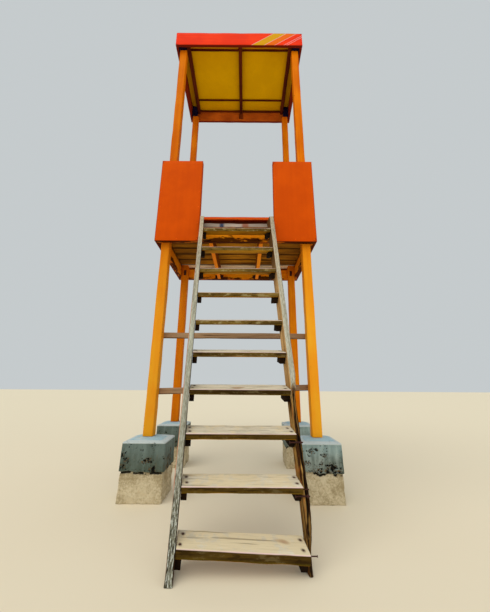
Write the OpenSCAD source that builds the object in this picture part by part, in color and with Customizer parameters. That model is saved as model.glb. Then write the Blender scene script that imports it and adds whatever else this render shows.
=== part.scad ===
// Timber lifeguard tower: four posts on concrete footings, a boxed platform,
// a flat roof and a steep ladder that leans against the front of the platform.
// X runs to the right, Y to the back, Z up. The ground under the ladder foot is Z = 0.

/* [Posts] */
// Distance between post centres, left to right
post_gap_x = 1500; // [1200:10:2000]
// Distance between post centres, front to back
post_gap_y = 950; // [800:10:1400]
// Side of the square posts
post_size = 90; // [70:1:120]

/* [Footings] */
// Height of a footing up to the edge of its top
footing_h = 450; // [350:5:600]
// Side of a square footing
footing_size = 350; // [280:5:500]
// How much wider the front left footing is, towards the middle
footing_extra = 28; // [0:1:60]
// Rise of the crowned top up to the post
footing_crown = 20; // [10:1:60]
// Border of a post's seat on the crown
footing_seat = 12; // [5:1:25]
// Slope of a footing's sides, as the inset at its top
footing_batter = 6; // [2:1:20]
// Chamfer of a footing's upright corners
footing_corner = 18; // [5:1:40]

/* [Platform] */
// Height of the underside of the platform
platform_z = 2360; // [2000:10:2800]
// Height of the platform's beams
beam_h = 170; // [120:5:220]
// Thickness of the beams and of the joists
beam_t = 45; // [30:1:60]
// Distance between the two joists' centres
joist_gap = 535; // [300:5:800]
// Thickness of the deck planks
deck_t = 45; // [25:1:60]
// Number of deck planks
plank_count = 7; // [4:1:10]
// Open joint between two planks
plank_joint = 8; // [3:1:15]
// Clearance of a plank round a post
plank_clear = 3; // [1:1:8]

/* [Panels] */
// Height of the panels, from the underside of the platform
panel_h = 1015; // [800:5:1300]
// Thickness of the panels
panel_t = 12; // [8:1:20]
// Height of the rail along a panel's top
rail_h = 50; // [35:1:90]
// Clearance between the ladder and the left edge of the entrance
entrance_slack_left = 1; // [1:1:60]
// Clearance between the ladder and the right edge of the entrance
entrance_slack_right = 13; // [1:1:60]
// Width of the stud beside the entrance
stud_w = 45; // [30:1:70]

/* [Braces] */
// Height of the brace boards that tie the front posts
brace_h = 58; // [40:1:90]
// Thickness of the brace boards
brace_t = 25; // [15:1:40]
// Middle height of the upper brace
brace_upper_z = 1385; // [1200:5:1800]
// Middle height of the lower brace at its left end
brace_lower_z = 848; // [600:5:1100]
// Rise of the lower brace from left to right
brace_lower_rise = 45; // [0:1:90]

/* [Roof] */
// Height of the lower edge of the roof
roof_z = 5250; // [4600:10:5800]
// Height of the fascia boards
fascia_h = 230; // [160:5:300]
// Thickness of the fascia boards
fascia_t = 32; // [15:1:35]
// Gap between the front posts and the front fascia
roof_front_gap = 29; // [20:1:120]
// Gap between the side posts and the side fascias
roof_side_gap = 17; // [15:1:90]
// Thickness of the roof board
roof_t = 15; // [10:1:25]
// Height of the rafters under the roof board
rafter_h = 65; // [40:1:120]
// Thickness of the rafters
rafter_t = 50; // [30:1:70]
// How far the side rafters reach outwards over the posts
rafter_out = 28; // [0:1:40]
// Offset of the middle rafter to the right of the middle
rafter_mid_x = 13; // [-60:1:60]
// Thickness of the cross battens between the rafters
batten_t = 22; // [15:1:50]
// Height of the cross battens
batten_h = 22; // [15:1:40]
// Distance from the tower's middle to the front batten
batten_front_y = 396; // [250:1:430]
// Distance from the tower's middle to the back batten
batten_back_y = 316; // [150:1:400]
// Side of the square ledger along the back fascia
ledger_size = 25; // [15:1:40]
// Width of the bearing block under the middle rafter's back end
bearing_w = 70; // [50:1:120]
// Height of the bearing block
bearing_h = 100; // [60:1:140]
// Thickness of the bearing block
bearing_t = 20; // [12:1:35]

/* [Ladder] */
// Slope of the ladder from the ground
ladder_angle = 71; // [65:0.5:78]
// Offset of the ladder's top to the right of the middle
ladder_top_x = 12; // [-30:1:30]
// How far the ladder foot stands to the right of its top
ladder_shift = 96; // [0:1:140]
// Twist of the racked boards: their back edges lie to the left of the front ones
ladder_rack = 9.5; // [0:0.5:10]
// Clear width between the stringers
tread_w = 678; // [640:1:690]
// Depth of the stringer boards
stringer_w = 110; // [100:1:125]
// Thickness of the stringer boards
stringer_t = 42; // [30:1:44]
// Height of a stringer's upright seat on the platform's edge
stringer_seat = 30; // [20:1:120]
// Height of the stringer tops above the deck
stringer_over = 25; // [0:1:60]
// Number of treads
tread_count = 10; // [10:1:10]
// Height of the first tread's front edge
tread_first_z = 122; // [100:1:160]
// Rise from tread to tread
tread_rise = 256; // [230:1:262]
// Depth of a tread
tread_d = 128; // [100:1:135]
// Thickness of a tread
tread_t = 38; // [25:1:45]
// Thickness of the lowest tread
tread_first_t = 52; // [25:1:55]
// Slope of a tread, front edge down
tread_tilt = 14; // [0:1:16]
// Drop of the first tread from left to right
tread_drop = 30; // [0:1:40]
// Height of the cleats that carry the treads
cleat_h = 50; // [25:1:52]
// Height of the lowest left cleat
cleat_first_h = 70; // [25:1:80]
// Thickness of the cleats
cleat_t = 35; // [20:1:50]
// Depth of the cleats
cleat_d = 86; // [50:1:95]

/* [Hidden] */

paint_orange = "#e08410";
paint_red = "#d2500f";
paint_ochre = "#a87800";
paint_dark = "#1c1c38";
wood_brown = "#8a5a1c";
wood_grey = "#b9b2a2";
concrete_blue = "#7e8f92";

// Tower frame: the middle of the four posts is X = 0, Y = 0
px = post_gap_x / 2;
py = post_gap_y / 2;
post_out_x = px + post_size / 2;
post_out_y = py + post_size / 2;
post_in_x = px - post_size / 2;
post_in_y = py - post_size / 2;
post_foot_z = footing_h + footing_crown;
dome_share = 0.7;

// Platform levels and faces
beam_top = platform_z + beam_h;
deck_top = beam_top + deck_t;
frame_x = post_out_x + beam_t;
frame_y = post_out_y + beam_t;
panel_x = frame_x + panel_t;
panel_y = frame_y + panel_t;
panel_top = platform_z + panel_h;
rail_z = panel_top - rail_h;
plank_w = (2 * frame_y - (plank_count - 1) * plank_joint) / plank_count;

// Roof levels and faces
roof_in_x = post_out_x + roof_side_gap;
roof_in_front = post_out_y + roof_front_gap;
roof_in_back = post_out_y;
roof_top = roof_z + fascia_h;
soffit_z = roof_top - roof_t;
rafter_z = soffit_z - rafter_h;

// Ladder: its back edge meets the platform's front face at the lower end of the seat
seat_z = deck_top - stringer_seat;
ladder_foot_y = -frame_y - stringer_w / sin(ladder_angle) - seat_z / tan(ladder_angle);
ladder_len = deck_top / sin(ladder_angle);
ladder_lean = 90 - ladder_angle;
stringer_in = tread_w / 2;
stringer_out = stringer_in + stringer_t;
rack_shift = stringer_w * tan(ladder_rack);
overrun = 2 * stringer_w;

// Entrance: just wide enough for the ladder's stringers
gate_left = ladder_top_x - stringer_out - rack_shift - entrance_slack_left;
gate_right = ladder_top_x + stringer_out + entrance_slack_right;

// The origin is the middle of the whole part's footprint
footing_out_y = py + footing_size / 2;
centre_y = (ladder_foot_y + footing_out_y) / 2;

module place() {
    translate([0, -centre_y, 0]) children();
}

// A box from its two corners
module slab(low, high) {
    translate(low) cube(high - low);
}

// Middle line of the ladder at a distance s along its slope
function ladder_x(s) = ladder_top_x + ladder_shift * (1 - s / ladder_len);

// Front edge of the ladder at the height z
function ladder_y(z) = ladder_foot_y + z / tan(ladder_angle);

// Outline of a square with chamfered corners, from its half side
function chamfered(half) = let (c = half - footing_corner)
    [[-c, -half], [c, -half], [half, -c], [half, c], [c, half], [-c, half], [-half, c], [-half, -c]];

// Footing: straight block with slightly sloped sides and a domed top in two slopes
module footing(sx, sy) {
    low = footing_size / 2;
    top = low - footing_batter;
    seat = post_size / 2 + footing_seat;
    levels = [[low, 0], [top, footing_h], [(top + seat) / 2, footing_h + footing_crown * dome_share],
        [seat, post_foot_z]];
    stretch = sx < 0 && sy < 0 ? 1 + footing_extra / footing_size : 1;
    points = [for (level = levels) for (corner = chamfered(level[0]))
        [(corner[0] + low) * stretch - low, corner[1], level[1]]];
    n = len(chamfered(low));
    last = len(levels) - 1;
    sides = [for (i = [0:last - 1]) for (k = [0:n - 1])
        [n * i + k, n * (i + 1) + k, n * (i + 1) + (k + 1) % n, n * i + (k + 1) % n]];
    base = [[for (k = [0:n - 1]) k]];
    crown = [[for (k = [n - 1:-1:0]) n * last + k]];
    color(concrete_blue) place() translate([sx * px, sy * py, 0])
        polyhedron(points, concat(base, sides, crown));
}

module post(sx, sy) {
    color(paint_orange) place() translate([sx * px, sy * py, 0])
        slab([-post_size / 2, -post_size / 2, post_foot_z], [post_size / 2, post_size / 2, roof_z]);
}

// Long beams in front of and behind the posts
module beam_long(s) {
    near = s < 0 ? -frame_y : post_out_y;
    color(paint_orange) place() slab([-frame_x, near, platform_z], [frame_x, near + beam_t, beam_top]);
}

// Short beams outside the posts, between the long ones
module beam_short(s) {
    near = s < 0 ? -frame_x : post_out_x;
    color(paint_orange) place() slab([near, -post_out_y, platform_z], [near + beam_t, post_out_y, beam_top]);
}

module joists() {
    color(paint_orange) place() for (s = [-1, 1]) translate([s * joist_gap / 2, 0, 0])
        slab([-beam_t / 2, -post_out_y, platform_z], [beam_t / 2, post_out_y, beam_top]);
}

// Planks run left to right and are notched round the posts
module deck() {
    notch = post_size / 2 + plank_clear;
    color(wood_brown) place() difference() {
        for (i = [0:plank_count - 1]) translate([0, -frame_y + i * (plank_w + plank_joint), 0])
            slab([-frame_x, 0, beam_top], [frame_x, plank_w, deck_top]);
        for (sx = [-1, 1], sy = [-1, 1]) translate([sx * px, sy * py, 0])
            slab([-notch, -notch, platform_z], [notch, notch, panel_top]);
    }
}

module panel_front(s) {
    low = s < 0 ? -panel_x : gate_right;
    high = s < 0 ? gate_left : panel_x;
    color(paint_red) place() slab([low, -panel_y, platform_z], [high, -frame_y, panel_top]);
}

module panel_back() {
    color(paint_red) place() slab([-panel_x, frame_y, platform_z], [panel_x, panel_y, panel_top]);
}

module panel_side(s) {
    near = s < 0 ? -panel_x : frame_x;
    color(paint_red) place() slab([near, -frame_y, platform_z], [near + panel_t, frame_y, panel_top]);
}

module rails_front_back() {
    color(paint_red) place() {
        slab([-frame_x, -frame_y, rail_z], [gate_left, -post_out_y, panel_top]);
        slab([gate_right, -frame_y, rail_z], [frame_x, -post_out_y, panel_top]);
        slab([-frame_x, post_out_y, rail_z], [frame_x, frame_y, panel_top]);
    }
}

module rails_side() {
    color(paint_red) place() for (near = [-frame_x, post_out_x])
        slab([near, -post_out_y, rail_z], [near + beam_t, post_out_y, panel_top]);
}

// Studs that stiffen the panels' edges at the entrance
module studs() {
    color(paint_red) place() for (near = [gate_left - stud_w, gate_right])
        slab([near, -frame_y, deck_top], [near + stud_w, -post_out_y, rail_z]);
}

// A board nailed across the back of the front posts, rising to the right
module brace(z, rise) {
    slope = atan(rise / post_gap_x);
    color(wood_grey) place() translate([0, -post_in_y, z + rise / 2]) rotate([0, -slope, 0])
        slab([-post_out_x, 0, -brace_h / 2], [post_out_x, brace_t, brace_h / 2]);
}

// Dark blocks on the post tops, which fill the corners of the roof
module head_blocks() {
    color(paint_dark) place() for (s = [-1, 1]) {
        low = s < 0 ? -roof_in_x : rafter_right + rafter_t;
        high = s < 0 ? rafter_left : roof_in_x;
        slab([low, -roof_in_front, roof_z], [high, -post_in_y, soffit_z]);
        slab([low, post_in_y, roof_z], [high, roof_in_back, soffit_z]);
    }
}

module fascia_long(s) {
    near = s < 0 ? -roof_in_front - fascia_t : roof_in_back;
    out = roof_in_x + fascia_t;
    color(paint_red) place() slab([-out, near, roof_z], [out, near + fascia_t, roof_top]);
}

module fascia_side(s) {
    near = s < 0 ? -roof_in_x - fascia_t : roof_in_x;
    color(paint_red) place() slab([near, -roof_in_front, roof_z], [near + fascia_t, roof_in_back, roof_top]);
}

rafter_left = -post_in_x - rafter_out;
rafter_right = post_in_x + rafter_out - rafter_t;
rafter_mid = rafter_mid_x - rafter_t / 2;

module rafters() {
    color(wood_brown) place() for (near = [rafter_left, rafter_mid, rafter_right])
        slab([near, -roof_in_front, rafter_z], [near + rafter_t, roof_in_back, soffit_z]);
}

// Battens across the two bays between the rafters, with a ledger along the back
// and a bearing block under the middle rafter
module battens() {
    bays = [[rafter_left + rafter_t, rafter_mid], [rafter_mid + rafter_t, rafter_right]];
    color(wood_brown) place() translate([rafter_mid_x, roof_in_back, rafter_z])
        slab([-bearing_w / 2, -bearing_t, -bearing_h], [bearing_w / 2, 0, 0]);
    color(wood_brown) place() for (bay = bays) {
        for (mid = [-batten_front_y, batten_back_y])
            slab([bay[0], mid - batten_t / 2, soffit_z - batten_h], [bay[1], mid + batten_t / 2, soffit_z]);
        slab([bay[0], roof_in_back - ledger_size, soffit_z - ledger_size], [bay[1], roof_in_back, soffit_z]);
    }
}

module roof_board() {
    color(paint_ochre) place()
        slab([-roof_in_x, -roof_in_front, soffit_z], [roof_in_x, roof_in_back, roof_top]);
}

// Leaning prism along the ladder, from low to high beside its middle line and from
// the depth near to far behind its front edges, racked to the left with its depth
module ladder_prism(low, high, near, far) {
    ring = [[low, near], [high, near], [high, far], [low, far]];
    points = [for (s = [-overrun, ladder_len + overrun]) for (corner = ring)
        [ladder_x(s) + corner[0] - corner[1] * tan(ladder_rack), corner[1], s]];
    sides = [for (k = [0:3]) [k, k + 4, 4 + (k + 1) % 4, (k + 1) % 4]];
    translate([0, ladder_foot_y, 0]) rotate([-ladder_lean, 0, 0])
        polyhedron(points, concat([[0, 1, 2, 3], [7, 6, 5, 4]], sides));
}

// Stringer: level at the ground and at its top, upright where it meets the platform
module stringer(s) {
    low = s < 0 ? -stringer_out : stringer_in;
    color(wood_grey) place() intersection() {
        ladder_prism(low, low + stringer_t, 0, stringer_w);
        slab([-panel_x, ladder_foot_y - overrun, 0], [panel_x, -frame_y, deck_top + stringer_over]);
    }
}

// Frame of the tread number i: its top front edge is the X axis, and the first one drops
module at_tread(i) {
    z = tread_first_z + i * tread_rise;
    drop = i == 0 ? atan(tread_drop / tread_w) : 0;
    translate([ladder_x(z / sin(ladder_angle)), ladder_y(z), z])
        rotate([tread_tilt, 0, 0]) rotate([0, drop, 0]) children();
}

function thickness(i) = i == 0 ? tread_first_t : tread_t;

// Tread: its ends are cut to the slant of the stringers
module tread(i) {
    color(wood_grey) place() intersection() {
        ladder_prism(-stringer_in, stringer_in, -overrun, overrun);
        at_tread(i) slab([-tread_w, 0, -thickness(i)], [tread_w, tread_d, 0]);
    }
}

// Cleats under both ends of every tread, against the stringers
module cleats() {
    near = (tread_d - cleat_d) / 2;
    lows = [-stringer_in, stringer_in - cleat_t];
    color(wood_brown) place() for (i = [0:tread_count - 1]) for (low = lows) {
        top = -thickness(i);
        height = i == 0 && low < 0 ? cleat_first_h : cleat_h;
        intersection() {
            ladder_prism(low, low + cleat_t, -overrun, overrun);
            at_tread(i) slab([-tread_w, near, top - height], [tread_w, near + cleat_d, top]);
        }
    }
}

footing(-1, -1);  // footing_front_left
footing(1, -1);  // footing_front_right
footing(-1, 1);  // footing_back_left
footing(1, 1);  // footing_back_right
post(-1, -1);  // post_front_left
post(1, -1);  // post_front_right
post(-1, 1);  // post_back_left
post(1, 1);  // post_back_right
beam_long(-1);  // beam_front
beam_long(1);  // beam_back
beam_short(-1);  // beam_left
beam_short(1);  // beam_right
joists();
deck();
panel_front(-1);  // panel_front_left
panel_front(1);  // panel_front_right
panel_back();
panel_side(-1);  // panel_left
panel_side(1);  // panel_right
rails_front_back();
rails_side();
studs();
brace(brace_upper_z, 0);  // brace_upper
brace(brace_lower_z, brace_lower_rise);  // brace_lower
head_blocks();
fascia_long(-1);  // fascia_front
fascia_long(1);  // fascia_back
fascia_side(-1);  // fascia_left
fascia_side(1);  // fascia_right
rafters();
battens();
roof_board();
stringer(-1);  // stringer_left
stringer(1);  // stringer_right
tread(0);  // tread_01
tread(1);  // tread_02
tread(2);  // tread_03
tread(3);  // tread_04
tread(4);  // tread_05
tread(5);  // tread_06
tread(6);  // tread_07
tread(7);  // tread_08
tread(8);  // tread_09
tread(9);  // tread_10
cleats();
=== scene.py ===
import math

import bpy
import numpy as np
from mathutils import Matrix, Vector


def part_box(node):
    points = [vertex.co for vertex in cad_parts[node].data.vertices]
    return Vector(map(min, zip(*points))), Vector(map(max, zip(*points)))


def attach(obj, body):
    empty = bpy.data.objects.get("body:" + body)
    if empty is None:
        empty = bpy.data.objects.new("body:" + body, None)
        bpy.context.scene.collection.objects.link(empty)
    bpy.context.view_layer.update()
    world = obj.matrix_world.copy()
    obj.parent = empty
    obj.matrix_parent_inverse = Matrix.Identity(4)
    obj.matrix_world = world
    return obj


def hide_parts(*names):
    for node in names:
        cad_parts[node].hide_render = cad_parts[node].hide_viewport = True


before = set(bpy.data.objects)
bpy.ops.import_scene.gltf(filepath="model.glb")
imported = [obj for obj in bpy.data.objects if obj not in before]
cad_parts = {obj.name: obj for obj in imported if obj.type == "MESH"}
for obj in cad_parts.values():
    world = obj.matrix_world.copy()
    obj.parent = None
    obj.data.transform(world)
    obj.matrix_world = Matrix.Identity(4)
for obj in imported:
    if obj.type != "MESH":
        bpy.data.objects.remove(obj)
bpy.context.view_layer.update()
print("frame loaded")

xAxis, yAxis, zAxis = range(3)
corners = ("front_left", "front_right", "back_left", "back_right")
panels = ("front_left", "front_right", "back", "left", "right")

# Halfway between the front posts and the back posts
middleY = (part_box("post_front_left")[0].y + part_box("post_back_right")[1].y) / 2

cameraValues = {
    "place": (0.101, -3.152, 0.936),  # its y is measured from the middle of the posts
    "pitch": 15.58,  # degrees above the horizon
    "yaw": 0.02,
    "roll": 0.38,
    "focalPixels": 273.7,
    "imageHeight": 612,
    "sensor": 36.0,
}


# The lens is the focal length in pixels, times the sensor's width over the picture's height
def makeCamera(values):
    data = bpy.data.cameras.new("towerCamera")
    data.sensor_fit = "AUTO"
    data.sensor_width = values["sensor"]
    data.lens = values["focalPixels"] * values["sensor"] / values["imageHeight"]
    camera = bpy.data.objects.new("towerCamera", data)
    bpy.context.scene.collection.objects.link(camera)
    turn = (Matrix.Rotation(math.radians(-values["yaw"]), 4, "Z")
            @ Matrix.Rotation(math.radians(90 + values["pitch"]), 4, "X")
            @ Matrix.Rotation(math.radians(values["roll"]), 4, "Z"))
    x, y, z = values["place"]
    camera.matrix_world = Matrix.Translation((x, middleY + y, z)) @ turn
    bpy.context.scene.camera = camera


makeCamera(cameraValues)
print("camera set")


# Shader maths: a wire is one socket, and an expression on wires adds its Math nodes
class Wire:
    def __init__(self, finish, socket):
        self.finish = finish
        self.socket = socket

    def maths(self, operation, *values):
        return self.finish.add("Math", {"operation": operation}, values)

    def __add__(self, other):
        return self.maths("ADD", self, other)

    def __sub__(self, other):
        return self.maths("SUBTRACT", self, other)

    def __rsub__(self, other):
        return self.maths("SUBTRACT", other, self)

    def __mul__(self, other):
        return self.maths("MULTIPLY", self, other)

    def __gt__(self, other):
        return self.maths("GREATER_THAN", self, other)

    def __lt__(self, other):
        return self.maths("LESS_THAN", self, other)

    __radd__ = __add__
    __rmul__ = __mul__

    def most(self, other):
        return self.maths("MAXIMUM", self, other)

    def size(self):
        return self.maths("ABSOLUTE", self)

    def part(self, axis):
        return self.finish.add("SeparateXYZ", {}, [self], axis)

    # Smooth step from 0 at low to 1 at high, which may lie below low
    def between(self, low, high):
        settings = {"interpolation_type": "SMOOTHSTEP"}
        return self.finish.add("MapRange", settings, {"Value": self, "From Min": low, "From Max": high})


# A screen colour, 0 to 255, made linear
def linear(colour):
    share = np.array(colour) / 255
    made = np.where(share <= 0.04045, share / 12.92, ((share + 0.055) / 1.055) ** 2.4)
    return tuple(float(value) for value in made)


# A finish is one material: nodes are added to it by type, settings and the values of their sockets
class Finish:
    def __init__(self, name):
        self.material = bpy.data.materials.new(name)
        self.material.use_nodes = True
        self.tree = self.material.node_tree
        self.shader = self.tree.nodes["Principled BSDF"]

    def put(self, socket, value):
        if isinstance(value, Wire):
            self.tree.links.new(value.socket, socket)
        elif socket.type == "RGBA":
            socket.default_value = (*linear(value), 1.0)
        else:
            socket.default_value = value

    def add(self, kind, settings, values, output=0):
        node = self.tree.nodes.new("ShaderNode" + kind)
        for key, value in settings.items():
            setattr(node, key, value)
        pairs = values.items() if isinstance(values, dict) else enumerate(values)
        for key, value in pairs:
            self.put(node.inputs[key], value)
        return Wire(self, node.outputs[output])

    def place(self):
        return self.add("TexCoord", {}, {}, "Object")

    def attribute(self, name, output="Fac"):
        return self.add("Attribute", {"attribute_name": name}, {}, output)

    def onBoard(self):
        return self.attribute("boardPlace", "Vector")

    def spot(self, axis):
        return self.attribute("boardSpot", "Vector").part(axis)

    def facing(self, axis):
        return self.add("NewGeometry", {}, {}, "Normal").part(axis)

    def noise(self, vector, scale, detail=3, roughness=0.5, stretch=(1, 1, 1), shift=(0, 0, 0)):
        moved = self.add("Mapping", {}, {"Vector": vector, "Scale": stretch, "Location": shift})
        sockets = {"Vector": moved, "Scale": scale, "Detail": detail, "Roughness": roughness}
        return self.add("TexNoise", {}, sockets, "Fac")

    # The shader's sockets: the relief stands out by up to the depth
    def surface(self, colour, roughness, shine, relief=None, depth=0.0, metal=0.0):
        sockets = {"Base Color": colour, "Roughness": roughness, "Specular IOR Level": shine,
                   "Metallic": metal}
        if relief is not None:
            sockets["Normal"] = self.add("Bump", {}, {"Height": relief, "Distance": depth, "Strength": 1.0})
        for key, value in sockets.items():
            self.put(self.shader.inputs[key], value)
        return self.material


# Colours, or wires of colour: the first where the share is 0, the second where it is 1
def mix(share, first, second):
    return share.finish.add("Mix", {"data_type": "RGBA"}, {0: share, 6: first, 7: second}, 2)


postPaintValues = {
    "light": (255, 184, 44), "deep": (255, 164, 34), "upperLight": (238, 132, 2), "upperDeep": (214, 104, 0),
    "shade": (150, 62, 6), "wood": (120, 84, 48), "dirt": (84, 44, 16),
    "leftShade": 0.22,  # painted shade: how far the boards on the left are darkened
    "sideShade": 0.25,  # painted shade: how far the sides of a board are darkened
    "lowShade": 0.1,  # how far the foot of a board is darkened
    "underShade": 0.0,  # painted shade: how far its underside is darkened
    "worn": 0.0,  # how far the paint has come off everywhere, 0 to 0.2
    "stains": 0.0,  # how much dark red-brown shows, 0 to 0.3
    "soak": 0.0,  # how much more of it shows below the height of soakFrom
    "soakFrom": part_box("beam_front")[0].z + 0.06,
    "cap": 0.0,  # how far it is darkened close under the deck
    "capTo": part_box("beam_front")[1].z,
}


# Oil paint on sawn timber: streaks along the board, chips at its edges, dirt towards the ground, and painted
# shade on the boards on the left, on the sides of a board and underneath
def paintedTimber(name, values):
    finish = Finish(name)
    board = finish.onBoard()
    place = finish.place()
    height = place.part(zAxis)
    streaks = finish.noise(board, 34, 4, 0.6, (0.05, 1, 1))
    clouds = finish.noise(board, 2.4)
    mixed = (streaks * 0.4 + clouds * 0.6).between(0.38, 0.66)
    rear = place.part(yAxis).between(middleY, middleY + 0.3)
    upper = height.between(1.2, 3.0).most(rear * 0.8)
    colour = mix(upper, mix(mixed, values["deep"], values["light"]),
                 mix(mixed, values["upperDeep"], values["upperLight"]))
    # Painted shade on the left boards, on a board's sides and underneath; low darkens its foot to the same
    # colour
    left = place.part(xAxis).between(0.3, -0.3) * values["leftShade"]
    side = finish.facing(xAxis).size().between(0.5, 0.85) * values["sideShade"]
    low = height.between(1.5, 0.6) * values["lowShade"]
    below = finish.facing(zAxis).between(-0.5, -0.8) * values["underShade"]
    colour = mix((left.most(side) + low).most(below), colour, values["shade"])
    chips = finish.noise(board, 22, 6, 0.62, (0.35, 1, 1))
    lowDown = 1 - height.between(0.47, 0.62)
    bare = chips + finish.attribute("edgeShare") * 0.08 + lowDown * 0.05 + values["worn"]
    bare = bare.between(0.74, 0.77)
    fibres = finish.noise(board, 90, 3, 0.6, (0.04, 1, 1))
    colour = mix(bare, colour, mix(fibres.between(0.35, 0.65), values["dirt"], values["wood"]))
    drips = finish.noise(board, 13, 5, 0.7, (0.35, 1, 1))
    soaked = height.between(values["soakFrom"], values["soakFrom"] - 0.05) * values["soak"]
    grime = (drips + lowDown * 0.1 + soaked + values["stains"]).between(0.66, 0.76)
    colour = mix(grime * 0.92, colour, values["dirt"])
    cap = (height + drips * 0.02).between(values["capTo"] - 0.03, values["capTo"] - 0.008) * values["cap"]
    colour = mix(cap * (finish.facing(zAxis).size() < 0.5), colour, values["dirt"])
    relief = streaks * 0.35 - bare * 0.8 + fibres * 0.12
    return finish.surface(colour, 0.55 + bare * 0.3 + grime * 0.1, 0.02, relief, 0.001)


# Older paint on the beams and joists
wornPaintValues = {
    **postPaintValues, "upperLight": (255, 166, 12), "upperDeep": (246, 130, 4), "dirt": (50, 15, 4),
    "leftShade": 0.0, "sideShade": 0.0, "lowShade": 0.0, "underShade": 0.75, "worn": 0.1, "stains": 0.09,
    "soak": 0.14, "cap": 0.85,
}

panelPaintValues = {
    # edge: a thin painted shade along the edges and on the faces that look down
    "light": (217, 84, 5), "deep": (205, 76, 4), "dirt": (110, 40, 10), "edge": (110, 34, 10),
    "inside": (58, 34, 22),  # the faces that look towards the middle of the tower, painted dark as shade
    "back": None,  # the faces that look up, where they are weathered to backDirt
    "marks": 0.0,
}


# Paint on smooth board: low clouds, faint streaks from top to bottom, dirt marks that gather near the edges,
# and a thin painted shade along the edges. Where they are given, the faces towards the middle of the tower
# and towards the sky have colours of their own, on the panels a dark painted shade towards the middle, and
# then the faces that look down take the edge colour as painted shade
def paintedSheet(name, values):
    finish = Finish(name)
    place = finish.place()
    clouds = finish.noise(place, 3.2, 4, 0.55)
    runs = finish.noise(place, 30, 3, 0.5, (1, 1, 0.04))
    colour = mix((clouds * 0.8 + runs * 0.2).between(0.38, 0.66), values["deep"], values["light"])
    if values["inside"]:
        across = place.part(xAxis)
        outward = (finish.facing(xAxis) * across * (across.size() > 0.6)
                   + finish.facing(yAxis) * (place.part(yAxis) - middleY))
        # Inner faces: on the panels a dark painted shade. Faces that look down: the edge colour, as painted
        # shade
        colour = mix(outward.between(-0.2, -0.3), colour, mix(clouds, values["inside"], values["dirt"]))
        colour = mix(finish.facing(zAxis).between(-0.5, -0.8), colour, values["edge"])
    edge = finish.attribute("edgeShare")
    scuffs = finish.noise(place, 26, 6, 0.7, (1, 1, 0.5))
    marks = (scuffs + edge * 0.1 + values["marks"]).between(0.72, 0.8)
    colour = mix(marks * 0.6, colour, values["dirt"])
    # A thin painted shade along the edges
    colour = mix(edge.between(0.9, 1.0) * 0.5, colour, values["edge"])
    if values["back"]:
        grain = finish.noise(place, 70, 5, 0.65, (0.06, 1, 1))
        puddles = finish.noise(place, 3.5, 6, 0.68)
        dirty = (puddles * 0.6 + grain * 0.4 + edge * 0.08).between(0.4, 0.62)
        weathered = mix(dirty, values["back"], values["backDirt"])
        colour = mix(finish.facing(zAxis).between(0.3, 0.7), colour, weathered)
    relief = finish.noise(place, 190, 3, 0.6) * 0.4 + runs * 0.2 - marks * 0.4
    return finish.surface(colour, 0.5 + clouds * 0.12 + marks * 0.2, 0.02, relief, 0.0005)


fasciaValues = {
    **panelPaintValues, "light": (252, 62, 14), "deep": (238, 50, 10), "dirt": (120, 34, 16),
    "edge": (110, 30, 14), "yellow": (226, 170, 8), "yellowDeep": (214, 150, 4), "orange": (246, 118, 12),
    "orangeDeep": (232, 96, 10), "line": (232, 190, 196), "inside": (252, 136, 42),
    "start": 0.16,  # the first stripe's place at the board's lower edge
    "slant": 1.35,
    "stripes": (0.0, 0.17, 0.31, 0.43, 0.47),
    "lineWidth": 0.009,
}


# Front fascia: straight slanted stripes, measured across the slant from the first one
def stripedFascia(name, values):
    finish = Finish(name)
    place = finish.place()
    clouds = finish.noise(place, 3.2, 4, 0.55)
    fibres = finish.noise(place, 60, 4, 0.6, (0.05, 1, 1))
    colour = mix((clouds * 0.6 + fibres * 0.4).between(0.4, 0.62), values["deep"], values["light"])
    raised = place.part(zAxis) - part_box("fascia_front")[0].z
    across = place.part(xAxis) - raised * values["slant"] - values["start"]
    first, second, third = values["stripes"][:3]
    yellow = (across > first) * (across < second)
    orange = (across > second) * (across < third)
    colour = mix(yellow, colour, mix(clouds, values["yellow"], values["yellowDeep"]))
    colour = mix(orange, colour, mix(clouds, values["orange"], values["orangeDeep"]))
    for middle in values["stripes"]:
        line = (across - middle).size() < values["lineWidth"] / 2
        colour = mix(line * 0.85, colour, values["line"])
    # Painted shade: a dark line along the edges, and the edge colour on the faces that look down
    colour = mix(finish.attribute("edgeShare").between(0.85, 1.0) * 0.6, colour, values["edge"])
    colour = mix(finish.facing(yAxis).between(0.2, 0.4), colour, values["inside"])
    colour = mix(finish.facing(zAxis).between(-0.5, -0.8), colour, values["edge"])
    relief = fibres * 0.5 + finish.noise(place, 190, 2) * 0.3
    return finish.surface(colour, 0.42 + clouds * 0.1, 0.02, relief, 0.0006)


# Bare weathered timber: fine grain along the board, dark cracks, browner below
def bareTimber(name, values):
    finish = Finish(name)
    board = finish.onBoard()
    grain = finish.noise(board, 120, 5, 0.65, (0.035, 1, 1))
    wide = finish.noise(board, 11, 4, 0.55, (0.15, 1, 1))
    colour = mix((grain * 0.6 + wide * 0.5).between(0.38, 0.68), values["middle"], values["light"])
    cracks = finish.noise(board, 46, 2, 0.4, (0.03, 1, 0.7)).between(0.345, 0.31)
    stains = finish.noise(board, 14, 5, 0.6, (0.4, 1, 1)).between(0.58, 0.75)
    colour = mix(stains * 0.45, colour, values["dark"])
    colour = mix(cracks * 0.8, colour, values["dark"])
    below = mix((grain * 0.5 + wide * 0.5).between(0.38, 0.62), values["dark"], values["under"])
    colour = mix(finish.facing(zAxis).between(0.0, -0.5) * 0.85, colour, below)
    return finish.surface(colour, 0.82 + grain * 0.12, 0.05, grain * 0.6 - cracks * 1.6, 0.0016)


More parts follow.
